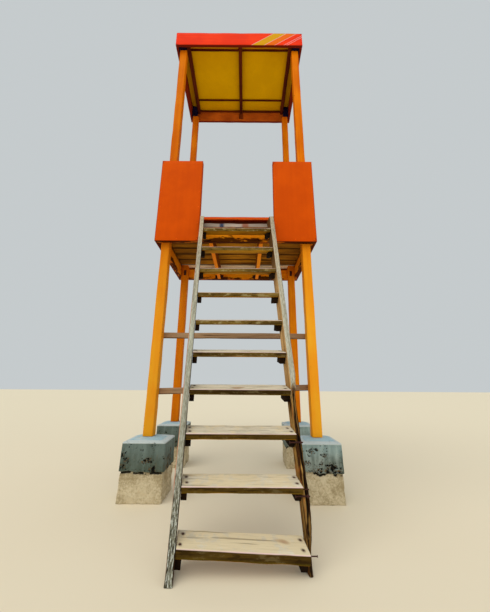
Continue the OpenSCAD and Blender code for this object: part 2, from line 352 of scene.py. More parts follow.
treadValues = {
    "light": (216, 207, 184), "middle": (188, 177, 152), "dark": (92, 74, 44), "grey": (116, 106, 84),
    # Fronts: dark, partly dirt and partly painted shade. Arris: a painted highlight
    "front": (92, 70, 24), "frontDark": (46, 31, 9), "lowEdge": (104, 88, 20), "arris": (224, 196, 192),
    "upperFront": (146, 118, 58), "upperFrontDark": (76, 56, 22),
    "mottle": (176, 162, 118),  # pale patches on the upper fronts
    "under": (198, 141, 20), "underDark": (112, 68, 12), "knot": (140, 92, 52),
    "grit": (213, 196, 158), "nailStain": (46, 20, 16),
    "halfDepth": 0.064,
    "halfThickness": 0.019,
    "arrisDepth": 0.002,  # how far the light front arris reaches, and as much again fading
}


# Treads: pale gritty tops, a light front arris painted as a highlight, fronts dark partly from dirt and
# partly as painted shade, and yellow-brown undersides
def treadTimber(name, values):
    finish = Finish(name)
    board = finish.onBoard()
    place = finish.place()
    height = place.part(zAxis)
    thick = values["halfThickness"]
    grain = finish.noise(board, 120, 5, 0.65, (0.035, 1, 1))
    wide = finish.noise(board, 12, 4, 0.55, (0.12, 1, 1))
    mixed = (grain * 0.55 + wide * 0.5).between(0.38, 0.66)
    top = mix(mixed, values["middle"], values["light"])
    top = mix(finish.noise(board, 10, 5, 0.6, (0.35, 1, 1)).between(0.56, 0.74) * 0.35, top, values["dark"])
    grit = (finish.noise(place, 16, 6, 0.7) + height.between(1.2, 0.1) * 0.22).between(0.6, 0.72)
    top = mix(grit * 0.75, top, values["grit"])
    top = mix(finish.noise(board, 9, 0, 0.5, (0.7, 1, 1)).between(0.78, 0.84) * 0.6, top, values["knot"])
    lines = finish.noise(board, 75, 5, 0.7, (0.09, 1, 1)).between(0.5, 0.64)
    top = mix(lines * (0.15 + height.between(0.25, 0.85) * 0.5), top, values["grey"])
    high = height.between(0.8, 1.5)
    # Fronts: dark, partly dirt and partly painted shade
    front = mix(high, mix(mixed, values["frontDark"], values["front"]),
                mix(mixed, values["upperFrontDark"], values["upperFront"]))
    blotches = finish.noise(board, 30, 5, 0.68, (0.45, 1, 1))
    front = mix(blotches.between(0.54, 0.64) * (0.15 + high * 0.45), front, values["mottle"])
    front = mix(blotches.between(0.46, 0.36) * 0.7, front, values["frontDark"])
    depth = finish.spot(zAxis)
    front = mix(depth.between(-thick * 0.35, -thick) * 0.6, front, values["lowEdge"])
    up = finish.facing(zAxis)
    colour = mix(up.between(0.35, 0.75), front, top)
    colour = mix(up.between(-0.3, -0.75), colour, mix(mixed, values["underDark"], values["under"]))
    # A painted highlight along the front arris
    reach = values["arrisDepth"]
    nearFront = finish.spot(yAxis).between(0.005 + reach - values["halfDepth"], reach - values["halfDepth"])
    nearTop = depth.between(thick - 0.003 - reach, thick - reach)
    colour = mix(nearFront * nearTop * (0.55 + wide * 0.5), colour, values["arris"])
    cracks = finish.noise(board, 60, 2, 0.4, (0.03, 1, 0.7)).between(0.34, 0.3)
    colour = mix(cracks * 0.45, colour, values["dark"])
    colour = mix(finish.attribute("stainShare"), colour, values["nailStain"])
    relief = grain * 0.6 - cracks * 1.6 + grit * 0.2
    return finish.surface(colour, 0.84 + grain * 0.12, 0.05, relief, 0.0016)


stringerValues = {
    "cream": (200, 180, 150), "pale": (184, 184, 164), "grey": (126, 122, 106), "olive": (88, 84, 60),
    "highlight": (214, 220, 214), "black": (26, 20, 16),
    "edgeTrace": (206, 122, 84),  # a warm line along the left arris
    "traceShare": 0.0,
    "leftSide": (70, 40, 18),  # the faces towards the left of the ladder
    # rightSide: on the left stringer its inner face, painted dark brown as shade
    "rightSide": (70, 40, 18), "sideDark": (50, 30, 14), "upperSide": (96, 66, 34),
    "rotTan": (172, 132, 72), "rotOrange": (174, 98, 40), "rotDark": (56, 32, 12),
    "roughFrom": 0.62,  # height below which the grain stands out
    "halfWidth": 0.021,
}


# Stringers: grey weathered fronts with fine streaks, browner sides, the left one's inner side dark as painted
# shade, and tan, orange and black where rotten, the splits painted black as their shade
def stringerTimber(name, values):
    finish = Finish(name)
    board = finish.onBoard()
    height = finish.place().part(zAxis)
    grain = finish.noise(board, 150, 5, 0.7, (0.03, 1, 1))
    wide = finish.noise(board, 18, 4, 0.6, (0.1, 1, 1))
    mixed = (grain * 0.6 + wide * 0.45).between(0.38, 0.66)
    front = mix(mixed, values["grey"], mix(height.between(1.3, 2.3), values["pale"], values["cream"]))
    lowDown = height.between(values["roughFrom"], 0.2)
    front = mix(height.between(1.0, 0.1) * 0.55, front, values["olive"])
    lines = finish.noise(board, 210, 4, 0.7, (0.14, 1, 1))
    flecks = lines.between(0.5 - 0.04 * lowDown, 0.4) * (0.3 + lowDown * 0.55)
    front = mix(flecks, front, values["highlight"])
    dark = (lines + lowDown * 0.05).between(0.55, 0.62) * (0.35 + lowDown * 0.55)
    front = mix(dark, front, values["black"])
    turned = finish.facing(xAxis)
    leftSide = mix(mixed, values["sideDark"], values["leftSide"])
    leftSide = mix(height.between(1.6, 2.1), leftSide, values["upperSide"])
    # Side faces: the left stringer's inner side, towards the right, is painted dark brown as shade
    colour = mix(turned.between(-0.45, -0.8), front, leftSide)
    colour = mix(turned.between(0.45, 0.8), colour, mix(mixed, values["sideDark"], values["rightSide"]))
    aside = finish.spot(yAxis)
    trace = aside.between(-values["halfWidth"] + 0.006, -values["halfWidth"] + 0.002)
    trace = trace * finish.spot(zAxis).between(0.014, 0.006) * values["traceShare"]
    colour = mix(trace * wide.between(0.4, 0.55), colour, values["edgeTrace"])
    streaks = finish.noise(board, 52, 4, 0.6, (0.06, 1, 1))
    rotten = mix(streaks.between(0.42, 0.56), values["rotDark"], values["rotTan"])
    patches = finish.noise(board, 26, 4, 0.6, (0.3, 1, 1)).between(0.55, 0.66)
    rotten = mix(patches * 0.5, rotten, values["rotOrange"])
    outer = (aside + wide * 0.006).between(values["halfWidth"] - 0.008, values["halfWidth"] - 0.002)
    rotten = mix(outer * 0.8, rotten, values["black"])
    rotten = mix(height.between(0.4, 0.1) * 0.6, rotten, values["rotDark"])
    colour = mix(finish.attribute("rotShare"), colour, rotten)
    # Splits and holes are painted black as their shade
    colour = mix(finish.attribute("pitDepth").between(0.2, 0.7), colour, values["black"])
    relief = grain * 0.6 + wide * 0.3 - dark * 0.8
    return finish.surface(colour, 0.84 + grain * 0.1, 0.05, relief, 0.0018)


deckLow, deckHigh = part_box("deck")
deckValues = {
    "light": (150, 104, 44), "middle": (112, 74, 28), "dark": (56, 34, 14),
    # pale: the last plank's underside, pale wood brightened to near white as painted light
    "under": (206, 138, 30), "underDark": (84, 50, 18), "pale": (255, 250, 236), "paleDark": (236, 206, 164),
    "paleFrom": deckHigh.y - 0.156,  # where the last plank begins
    "edge": (196, 180, 168), "edgeDark": (140, 124, 112), "blue": (56, 66, 92), "pink": (150, 92, 70),
    "blueX": -0.153,
    "pinkX": 0.1,
}


# Deck: brown planks with painted shade under the front ones and towards the sides, the last one pale below
# and brightened to near white as painted light, and a grey front edge with two old paint blots
def deckTimber(name, values):
    finish = Finish(name)
    board = finish.onBoard()
    place = finish.place()
    across = place.part(xAxis)
    back = place.part(yAxis)
    grain = finish.noise(board, 110, 5, 0.65, (0.035, 1, 1))
    wide = finish.noise(board, 9, 4, 0.55, (0.15, 1, 1))
    mixed = (grain * 0.55 + wide * 0.5).between(0.38, 0.66)
    below = mix(mixed, values["underDark"], values["under"])
    # Painted shade under the planks near the front and towards the sides
    shaded = (back.between(deckLow.y + 0.5, deckLow.y + 0.1) * 0.55
              + across.size().between(0.36, 0.48) * 0.35)
    below = mix(shaded, below, values["dark"])
    # The last plank's underside: pale wood, brightened to near white as painted light
    last = back.between(values["paleFrom"] - 0.002, values["paleFrom"] + 0.002)
    below = mix(last, below, mix(mixed, values["paleDark"], values["pale"]))
    downward = finish.facing(zAxis).between(0.2, -0.4)
    colour = mix(downward, mix(mixed, values["middle"], values["light"]), below)
    front = finish.facing(yAxis).between(-0.4, -0.8) * back.between(deckLow.y + 0.02, deckLow.y + 0.01)
    edge = mix(wide.between(0.35, 0.65), values["edge"], values["edgeDark"])
    blue = ((across - values["blueX"]).size() + wide * 0.03).between(0.055, 0.022)
    edge = mix(blue, edge, values["blue"])
    pink = ((across - values["pinkX"]).size() + wide * 0.04).between(0.07, 0.04)
    edge = mix(pink * 0.9, edge, values["pink"])
    colour = mix(front, colour, edge)
    gaps = (finish.attribute("edgeShare") + downward * 0.2).between(0.75, 1.1) * (1 - front)
    colour = mix(gaps * 0.8, colour, values["dark"])
    cracks = finish.noise(board, 40, 2, 0.4, (0.03, 1, 0.7)).between(0.35, 0.31)
    colour = mix(cracks * 0.7, colour, values["dark"])
    return finish.surface(colour, 0.82 + grain * 0.12, 0.05, grain * 0.6 - cracks * 1.4, 0.0016)


concreteValues = {
    "paint": (104, 118, 112), "patch": (80, 92, 84), "dark": (66, 74, 64), "stain": (112, 84, 44),
    "right": (158, 170, 164),  # the lighter colour of the right-hand blocks
    "upper": (170, 198, 198), "lower": (66, 74, 48),
    "pale": (156, 186, 196), "rim": (190, 198, 196),  # the crown
    # hole: the colour of the pits' painted shade
    "raw": (206, 192, 160), "rawDark": (160, 144, 110), "hole": (22, 22, 16),
}


# Painted concrete: pale crown and rim, faint runs down its sides, pits and specks painted dark as their
# shade, raw near the ground
def paintedConcrete(name, values):
    finish = Finish(name)
    place = finish.place()
    height = place.part(zAxis)
    clouds = finish.noise(place, 6, 4, 0.55)
    runs = finish.noise(place, 20, 3, 0.55, (1, 1, 0.15))
    right = place.part(xAxis).between(-0.2, 0.2)
    paint = mix(right, values["paint"], values["right"])
    colour = mix((clouds * 0.5 + runs * 0.5).between(0.38, 0.62), values["patch"], paint)
    colour = mix(height.between(0.3, 0.42) * (right * 0.36 + 0.06), colour, values["upper"])
    colour = mix(height.between(0.4, 0.22) * 0.3, colour, values["lower"])
    fine = finish.noise(place, 60, 5, 0.7)
    colour = mix(fine.between(0.58, 0.72) * 0.35, colour, values["dark"])
    brown = finish.noise(place, 5, 4, 0.6, (1, 1, 0.5), (3, 0, 0)).between(0.6, 0.72)
    colour = mix(brown * 0.5, colour, values["stain"])
    up = finish.facing(zAxis)
    crown = mix(clouds.between(0.5, 0.75), values["pale"], values["rim"])
    colour = mix(up.between(0.25, 0.7) * height.between(0.4, 0.43), colour, crown)
    rim = finish.attribute("rimShare") + fine * 0.5
    colour = mix(rim.between(0.7, 1.0) * 0.8, colour, values["rim"])
    rawShare = finish.attribute("rotShare")
    raw = mix((clouds * 0.5 + fine * 0.5).between(0.4, 0.6), values["rawDark"], values["raw"])
    colour = mix(rawShare, colour, raw)
    chips = finish.noise(place, 34, 6, 0.65) + finish.attribute("edgeShare") * 0.04
    chips = chips.between(0.66, 0.7)
    colour = mix(chips * (1 - up.between(0.2, 0.6)) * 0.6, colour, values["rawDark"])
    specks = finish.noise(place, 84, 4, 0.7) + finish.attribute("crowdShare") * 0.15
    specks = specks.between(0.63, 0.67) * (1 - rawShare)
    # Pits and fine specks are painted dark as their shade
    colour = mix(specks * 0.85, colour, mix(fine.between(0.45, 0.55), values["hole"], values["stain"]))
    colour = mix(finish.attribute("pitDepth").between(0.18, 0.6), colour, values["hole"])
    relief = finish.noise(place, 160, 5, 0.7) * 0.5 - chips * 0.5 - specks + clouds * 0.2 + rawShare * fine
    return finish.surface(colour, 0.82 + rawShare * 0.12, 0.18, relief, 0.0025)


steelValues = {"metal": (58, 40, 34), "rust": (82, 28, 16)}


# Rusty steel for nails and bolts
def rustySteel(name, values):
    finish = Finish(name)
    spots = finish.noise(finish.place(), 260, 4, 0.65)
    rust = spots.between(0.4, 0.6)
    colour = mix(rust, values["metal"], values["rust"])
    return finish.surface(colour, 0.55 + rust * 0.35, 0.5, spots, 0.0006, 0.6 - rust * 0.5)


materials = {
    "post": paintedTimber("postPaint", postPaintValues),
    "beam": paintedTimber("beamPaint", wornPaintValues),
    # The joists' sides are darkened hard towards their shade colour as painted shade
    "joist": paintedTimber("joistPaint", {
        **wornPaintValues, "upperLight": (232, 128, 16), "upperDeep": (212, 102, 8), "shade": (84, 40, 12),
        "sideShade": 0.85, "underShade": 0.0, "stains": 0.02, "soak": 0.0, "worn": 0.0, "cap": 0.0}),
    # The side beams' sides are darkened as painted shade
    "sideBeam": paintedTimber("sideBeamPaint", {**wornPaintValues, "sideShade": 0.3, "stains": 0.12}),
    "panel": paintedSheet("panelPaint", panelPaintValues),
    "rail": paintedSheet("railPaint", {
        **panelPaintValues, "light": (255, 104, 30), "deep": (246, 94, 22), "inside": None, "marks": 0.02}),
    "fascia": paintedSheet("fasciaPaint", fasciaValues),
    "sideFascia": paintedSheet("sideFasciaPaint", {**fasciaValues, "inside": (150, 52, 28)}),
    "stripes": stripedFascia("stripedPaint", fasciaValues),
    "soffit": paintedSheet("soffitPaint", {
        "light": (226, 174, 0), "deep": (217, 165, 0), "dirt": (150, 100, 6), "edge": (120, 80, 6),
        "inside": None, "back": (146, 116, 92), "backDirt": (96, 76, 60), "marks": 0.0}),
    "roofTimber": bareTimber("roofTimber", {
        "light": (128, 60, 20), "middle": (98, 38, 14), "dark": (52, 16, 12), "under": (104, 40, 16)}),
    # The head blocks' dark navy is partly their own paint and partly painted shade under the roof
    "head": paintedSheet("headPaintAndShade", {
        "light": (34, 30, 76), "deep": (20, 16, 40), "dirt": (60, 20, 24), "edge": (16, 12, 30),
        "inside": None, "back": None, "marks": 0.0}),
    "tread": treadTimber("treadTimber", treadValues),
    "firstTread": treadTimber("firstTreadTimber", {**treadValues, "halfThickness": 0.026}),
    "stringerLeft": stringerTimber("leftStringerTimber", {
        **stringerValues, "leftSide": (150, 120, 88), "traceShare": 0.75}),
    "stringerRight": stringerTimber("rightStringerTimber", {
        **stringerValues, "pale": (198, 194, 172), "leftSide": (232, 190, 130), "sideDark": (140, 102, 58),
        "rightSide": (120, 84, 44)}),
    "deck": deckTimber("deckTimber", deckValues),
    # The cleats' near-black brown is partly their dark end grain and partly painted shade under the treads
    "cleat": bareTimber("cleatTimber", {
        "light": (46, 31, 20), "middle": (28, 19, 12), "dark": (12, 8, 6), "under": (34, 23, 13)}),
    "brace": bareTimber("braceTimber", {
        "light": (168, 136, 104), "middle": (132, 102, 76), "dark": (76, 48, 30), "under": (100, 70, 40)}),
    "concrete": paintedConcrete("footingPaint", concreteValues),
    "steel": rustySteel("rustySteel", steelValues),
}
print("finishes made")


# Value noise: chance numbers on a lattice, blended between its points by 3t^2 - 2t^3
def latticeNoise(points, spacing, seed):
    scaled = points / spacing
    cell = np.floor(scaled)
    part = scaled - cell
    part = part * part * (3 - 2 * part)
    total = np.zeros(points.shape[:-1])
    for corner in np.ndindex(2, 2, 2):
        chance = np.sin((cell + corner) @ np.array([127.1, 311.7, 74.7]) + seed * 19.19) * 43758.5453
        chance = chance - np.floor(chance)
        total += chance * np.prod(np.where(np.array(corner) == 1, part, 1 - part), axis=-1)
    return total


# Layered noise, about -1 to 1, on stretched points: each layer halves the last one's spacing and strength
def layeredNoise(points, spacing, seed, layers=3, stretch=(1, 1, 1)):
    points = points * np.array(stretch)
    total = np.zeros(points.shape[:-1])
    for layer in range(layers):
        total += (latticeNoise(points, spacing / 2**layer, seed + layer) - 0.5) / 2**layer
    return total


# Smooth step from 0 at low to 1 at high
def ease(value, low, high):
    share = np.clip((value - low) / (high - low), 0, 1)
    return share * share * (3 - 2 * share)


# Places of the four corners of each ring, as points for the noise that wears them
def cornerPoints(at, spacing, last):
    count = len(at)
    return np.stack([np.repeat(at[:, None], 4, axis=1), np.tile(np.arange(4) * spacing, (count, 1)),
                     np.full((count, 4), float(last))], axis=-1)


edgeReach = 0.02  # how far in from its edges a board is taken as edge


# Rounded rectangle: quarter circles of the corner radius, joined by straight rows of points
def roundedProfile(halfB, halfC, radius, inset, flatStep, arcSteps=4):
    turns = np.linspace(0, math.pi / 2, arcSteps)
    arcs = []
    for number, (signB, signC) in enumerate(((1, 1), (-1, 1), (-1, -1), (1, -1))):
        angle = turns + number * math.pi / 2
        reach = np.maximum(radius[:, number] - inset, 0.0002)[:, None]
        middleB = signB * (halfB - radius[:, number])[:, None]
        middleC = signC * (halfC - radius[:, number])[:, None]
        arcs.append(np.stack([middleB + reach * np.cos(angle), middleC + reach * np.sin(angle)], axis=-1))
    rows = []
    edges = []
    for number in range(4):
        start = arcs[number][:, -1:]
        finish = arcs[(number + 1) % 4][:, :1]
        span = 2 * (halfB if number % 2 == 0 else halfC).max()
        count = max(1, round(span / flatStep) - 1)
        share = np.arange(1, count + 1) / (count + 1)
        rows += [arcs[number], start + (finish - start) * share[None, :, None]]
        edges += [np.ones(arcSteps), np.clip(1 - np.minimum(share, 1 - share) * span / edgeReach, 0, 1)]
    return np.concatenate(rows, axis=1), np.concatenate(edges)


# Outward normals of a closed grid: the step round the profile crossed with the step along it
def gridNormals(grid):
    around = np.roll(grid, -1, axis=1) - np.roll(grid, 1, axis=1)
    normal = np.cross(around, np.gradient(grid, axis=0))
    return normal / np.maximum(np.linalg.norm(normal, axis=-1, keepdims=True), 1e-12)


# Places of the rings along a board: close together where the end is rounded, then evenly spaced
def ringPlaces(length, radius, step):
    turns = np.linspace(0, math.pi / 2, 4)
    start = radius * (1 - np.cos(turns))
    drawnIn = radius * (1 - np.sin(turns))
    count = max(3, math.ceil((length - 2 * radius) / step) + 1)
    middle = np.linspace(radius, length - radius, count)[1:-1]
    inset = np.concatenate([drawnIn, np.zeros(len(middle)), drawnIn[::-1]])
    return np.concatenate([start, middle, length - start[::-1]]), inset


reliefValues = {
    "sawn": {"depth": 0.0015, "spacing": 0.05, "layers": 3, "stretch": (0.25, 1, 1), "raised": 0.4},
    "worn": {"depth": 0.003, "spacing": 0.035, "layers": 4, "stretch": (0.16, 1, 1), "raised": 0.2},
}


# Waves and hollows along a board: noise, raised, kept between 0 and 1 and taken times the depth
def pressedIn(own, seed, depth, spacing, layers, stretch, raised):
    return depth * np.clip(layeredNoise(own, spacing, seed, layers, stretch) + raised, 0, 1)


# Board: a rounded rectangle carried along one axis, its corners worn back by noise, pressed in by its relief
def board(low, high, along, seed, radius, wear, step, flatStep, relief=None, place=None):
    low = np.array(low, float)
    high = np.array(high, float)
    acrossB = (along + 1) % 3
    acrossC = (along + 2) % 3
    length = high[along] - low[along]
    at, inset = ringPlaces(length, radius, step)
    half = np.ones((len(at), 1)) * (high - low)[None] / 2
    worn = np.clip(latticeNoise(cornerPoints(at, 9.7, seed * 3.3), 0.11, seed) * 1.6 - 0.5, 0, 1)
    room = min(half[0, acrossB], half[0, acrossC]) * 0.8
    corner = np.minimum(radius * (1 + wear * 2 * worn), room)
    profile, edge = roundedProfile(half[:, acrossB], half[:, acrossC], corner, inset, flatStep)
    grid = np.zeros(profile.shape[:2] + (3,))
    grid[..., along] = at[:, None]
    grid[..., acrossB] = profile[..., 0]
    grid[..., acrossC] = profile[..., 1]
    own = np.stack([grid[..., along] - length / 2, profile[..., 0], profile[..., 1]], axis=-1)
    endGap = np.minimum(at, length - at)[:, None]
    edgeShare = np.maximum(edge[None], np.clip(1 - endGap / edgeReach, 0, 1))
    if relief:
        grid = grid - gridNormals(grid) * pressedIn(own, seed, **reliefValues[relief])[..., None]
    middle = (low + high) / 2
    middle[along] = low[along]
    grid = grid + middle
    if place is not None:
        turn = np.array(place)
        grid = grid @ turn[:3, :3].T + turn[:3, 3]
    return {"grid": grid, "own": own + np.array([seed * 1.37, seed * 0.71, seed * 0.39]), "spot": own,
            "edge": edgeShare}


# The point attributes that the finishes read, and the grid values that they come from
attributeKinds = {
    "boardPlace": ("FLOAT_VECTOR", "own"),  # along and across the board, moved apart for each board
    "boardSpot": ("FLOAT_VECTOR", "spot"),  # the same from the board's middle
    "edgeShare": ("FLOAT", "edge"),
    "pitDepth": ("FLOAT", "pit"),
    "rotShare": ("FLOAT", "rot"),
    "stainShare": ("FLOAT", "stain"),
    "rimShare": ("FLOAT", "rim"),
    "crowdShare": ("FLOAT", "crowd"),
}


# One mesh of closed grids: rows of quads round each grid and one face over each of its ends
def makePiece(name, grids, material, node=None):
    points = []
    faces = []
    count = 0
    for part in grids:
        rows, columns = part["grid"].shape[:2]
        index = np.arange(rows * columns).reshape(rows, columns) + count
        beside = np.roll(index, -1, axis=1)
        quads = np.stack([index[:-1], beside[:-1], beside[1:], index[1:]], axis=-1).reshape(-1, 4)
        faces += quads.tolist() + [index[0, ::-1].tolist(), index[-1].tolist()]
        points.append(part["grid"].reshape(-1, 3))
        count += rows * columns
    mesh = bpy.data.meshes.new(name)
    mesh.from_pydata(np.concatenate(points).tolist(), [], faces)
    for label, (kind, key) in attributeKinds.items():
        if key not in grids[0]:
            continue
        layer = mesh.attributes.new(label, kind, "POINT")
        values = np.concatenate([part[key].reshape(-1) for part in grids])
        layer.data.foreach_set("vector" if kind == "FLOAT_VECTOR" else "value", values.astype(np.float32))
    mesh.polygons.foreach_set("use_smooth", np.ones(len(mesh.polygons), bool))
    mesh.materials.append(materials[material])
    mesh.update()
    piece = bpy.data.objects.new(name, mesh)
    bpy.context.scene.collection.objects.link(piece)
    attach(piece, "root")
    if node:
        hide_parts(node)


# Corner radius, how far it grows where worn, and the spacing of rings along and of points across the board
boardValues = {
    "post": {"radius": 0.004, "wear": 1.2, "step": 0.04, "flatStep": 0.015, "relief": "sawn"},
    "joist": {"radius": 0.003, "wear": 0.5, "step": 0.04, "flatStep": 0.015, "relief": "sawn"},
    "beam": {"radius": 0.003, "wear": 0.8, "step": 0.03, "flatStep": 0.015, "relief": "sawn"},
    "sheet": {"radius": 0.002, "wear": 1.2, "step": 0.05, "flatStep": 0.05},
    "fascia": {"radius": 0.003, "wear": 1.0, "step": 0.04, "flatStep": 0.04, "relief": "sawn"},
    "roof": {"radius": 0.003, "wear": 0.8, "step": 0.05, "flatStep": 0.02, "relief": "sawn"},
    "tread": {"radius": 0.003, "wear": 1.1, "step": 0.007, "flatStep": 0.007, "relief": "worn"},
    "plank": {"radius": 0.004, "wear": 1.4, "step": 0.03, "flatStep": 0.015, "relief": "worn"},
    "cleat": {"radius": 0.002, "wear": 0.6, "step": 0.015, "flatStep": 0.012, "relief": "sawn"},
    "plate": {"radius": 0.001, "wear": 0.5, "step": 0.02, "flatStep": 0.01},
}


# The boards of a node, one for each upright box and seed. A node that is one box needs only its seed
def makeBoards(node, along, kind, material, seeds, boxes=None):
    boxes = boxes or [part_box(node)]
    boards = [board(low, high, along, seed, **boardValues[kind]) for (low, high), seed in zip(boxes, seeds)]
    makePiece("board_" + node, boards, material, node)


# Boxes of one thickness, side by side from left to right, as deep and as high as the node's own
def sideBySide(node, starts, thick):
    low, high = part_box(node)
    return [((x, low.y, low.z), (x + thick, high.y, high.z)) for x in starts]


for number, corner in enumerate(corners):
    makeBoards("post_" + corner, zAxis, "post", "post", [11 + number])
for number, (side, along, beamFinish, fasciaFinish) in enumerate((
        ("front", xAxis, "beam", "stripes"), ("back", xAxis, "beam", "fascia"),
        ("left", yAxis, "sideBeam", "sideFascia"), ("right", yAxis, "sideBeam", "sideFascia"))):
    makeBoards("beam_" + side, along, "beam", beamFinish, [21 + number])
    makeBoards("fascia_" + side, along, "fascia", fasciaFinish, [31 + number])
for number, side in enumerate(panels):
    makeBoards("panel_" + side, zAxis, "sheet", "panel", [41 + number])
makeBoards("roof_board", xAxis, "sheet", "soffit", [47])
makeBoards("brace_upper", xAxis, "plank", "brace", [48])
print("posts, beams, panels and fascias made")

# The sizes that the boxes of the nodes don't give
towerValues = {
    "beamThickness": 0.045,
    "joistGap": 0.535,
    "rafterThickness": 0.05,
    "rafterMiddle": 0.013,
    "batten": 0.022,  # both its height and its thickness
    "backBatten": 0.316,
    "ledger": 0.025,
    "bearing": (0.07, 0.02, 0.1),
    "plankCount": 7,
    "plankJoint": 0.008,
    "braceThickness": 0.025,
    "braceHeight": 0.058,
    "braceRise": 0.045,
    "postGap": 1.5,
}


# Two joists, each half their gap from the middle, and a deck of planks, (depth + joint) / count apart
def makePlatform(values):
    thick = values["beamThickness"]
    starts = [side * values["joistGap"] / 2 - thick / 2 for side in (-1, 1)]
    makeBoards("joists", yAxis, "joist", "joist", (51, 52), sideBySide("joists", starts, thick))
    low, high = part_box("deck")
    count = values["plankCount"]
    pitch = (high.y - low.y + values["plankJoint"]) / count
    width = pitch - values["plankJoint"]
    boxes = [((low.x, low.y + number * pitch, low.z), (high.x, low.y + number * pitch + width, high.z))
             for number in range(count)]
    makeBoards("deck", xAxis, "plank", "deck", range(61, 61 + count), boxes)


# Rails behind the panels, left and right of the entrance, at the back and at both sides, and two studs
def makeRailsAndStuds(values):
    thick = values["beamThickness"]
    low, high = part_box("rails_front_back")
    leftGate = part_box("panel_front_left")[1].x
    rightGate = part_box("panel_front_right")[0].x
    spans = ((low.x, leftGate, low.y), (rightGate, high.x, low.y), (low.x, high.x, high.y - thick))
    boxes = [((left, near, low.z), (right, near + thick, high.z)) for left, right, near in spans]
    makeBoards("rails_front_back", xAxis, "beam", "rail", (71, 72, 73), boxes)
    for node, along, material, seeds in (("rails_side", yAxis, "rail", (75, 76)),
                                         ("studs", zAxis, "panel", (77, 78))):
        low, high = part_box(node)
        boxes = sideBySide(node, (low.x, high.x - thick), thick)
        makeBoards(node, along, "beam", material, seeds, boxes)


# Three rafters, then in each bay a front batten, one behind the middle and a ledger, then the bearing block
# under the middle rafter's back end, and last the head blocks on the posts, between fascias and side rafters
def makeRoofTimbers(values):
    low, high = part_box("rafters")
    thick = values["rafterThickness"]
    starts = (low.x, values["rafterMiddle"] - thick / 2, high.x - thick)
    boxes = sideBySide("rafters", starts, thick)
    makeBoards("rafters", yAxis, "roof", "roofTimber", (81, 82, 83), boxes)
    low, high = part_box("battens")
    batten, ledger = values["batten"], values["ledger"]
    # The front edge, thickness and seed of what lies in each bay
    runs = ((low.y, batten, 85), (middleY + values["backBatten"] - batten / 2, batten, 85),
            (high.y - ledger, ledger, 91))
    roof = boardValues["roof"]
    boards = []
    for number in range(2):
        left = starts[number] + thick
        right = starts[number + 1]
        for near, size, seed in runs:
            boards.append(board((left, near, high.z - size), (right, near + size, high.z), xAxis,
                                seed + number, **roof))
    width, deep, tall = values["bearing"]
    left = values["rafterMiddle"] - width / 2
    near = high.y - deep
    boards.append(board((left, near, low.z), (left + width, high.y, low.z + tall), zAxis, 93, **roof))
    makePiece("board_battens", boards, "roofTimber", "battens")
    low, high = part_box("head_blocks")
    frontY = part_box("post_front_left")[1].y
    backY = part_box("post_back_left")[0].y
    boxes = []
    for left, right in ((low.x, starts[0]), (starts[2] + thick, high.x)):
        boxes.append(((left, low.y, low.z), (right, frontY, high.z)))
        boxes.append(((left, backY, low.z), (right, high.y, high.z)))
    makeBoards("head_blocks", zAxis, "roof", "head", (95, 97, 96, 98), boxes)


# A plank as long as the posts are apart outside, turned up to the right by atan(rise / post gap)
def makeLowerBrace(values):
    low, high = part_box("brace_lower")
    slope = math.atan(values["braceRise"] / values["postGap"])
    middle = Matrix.Translation(((low.x + high.x) / 2, low.y, (low.z + high.z) / 2))
    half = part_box("post_front_right")[1].x
    tall = values["braceHeight"] / 2
    made = board((-half, 0, -tall), (half, values["braceThickness"], tall), xAxis, 49,
                 place=middle @ Matrix.Rotation(-slope, 4, "Y"), **boardValues["plank"])
    makePiece("board_brace_lower", [made], "brace", "brace_lower")


makePlatform(towerValues)
makeRailsAndStuds(towerValues)
makeRoofTimbers(towerValues)
makeLowerBrace(towerValues)
print("platform and roof timbers made")

ladderValues = {
    "angle": 71.0,  # degrees from the ground
    "topX": 0.012,
    "shift": 0.096,  # how far the foot stands to the right of the top
    "rack": 9.5,  # degrees that the boards' back edges are turned to the left
    "treadCount": 10,
    "treadFirst": 0.122,
    "treadRise": 0.256,
    "treadDrop": 0.03,  # of the first tread, from left to right
    "treadWidth": 0.678,
    "treadDepth": 0.128,
    "treadThickness": 0.038,
    "firstThickness": 0.052,
    "treadTilt": 14.0,
    "treadGap": 0.001,
    "stringerDepth": 0.11,
    "stringerThickness": 0.042,
    "cleatHeight": 0.05,
    "firstCleatHeight": 0.07,  # the lowest left one
    "cleatThickness": 0.035,
    "cleatDepth": 0.086,
    "ringStep": 0.008,
    "flatStep": 0.0045,
    "cornerRadius": 0.004,
    "nailX": 0.314,  # from the tread's middle
    "nailY": (0.036, 0.094),  # behind the tread's front edge
    "nailWander": 0.006,
    "nailStain": 0.01,
    "rotTop": 0.95,  # height up to which the right stringer is rotten
    "rotDepth": 0.042,  # how much of its front is gone there
    "footRot": 0.034,  # how much more is gone at its foot
    "rotSide": 0.009,  # how much its outer side is gone
    "footSide": 0.014,  # how much more at its foot
    "seams": (0.062, 0.086),  # splits up its inner side, behind its front
    "seamWidth": 0.004,
    "cleft": 0.003,  # the split up its front, out from its middle
    "cleftWidth": 0.005,
    "drift": (0.01, 0.012),  # how far cleft and seams wander
    "grooveDepth": (0.02, 0.007),  # at the front and at the inner side
    "dentDepth": (0.0025, 0.002),  # of both stringers, and how much more near the ground
    "endReach": 0.03,  # how far from its ends a stringer is smooth
}
lean = math.radians(90 - ladderValues["angle"])
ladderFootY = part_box("stringer_left")[0].y
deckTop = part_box("deck")[1].z


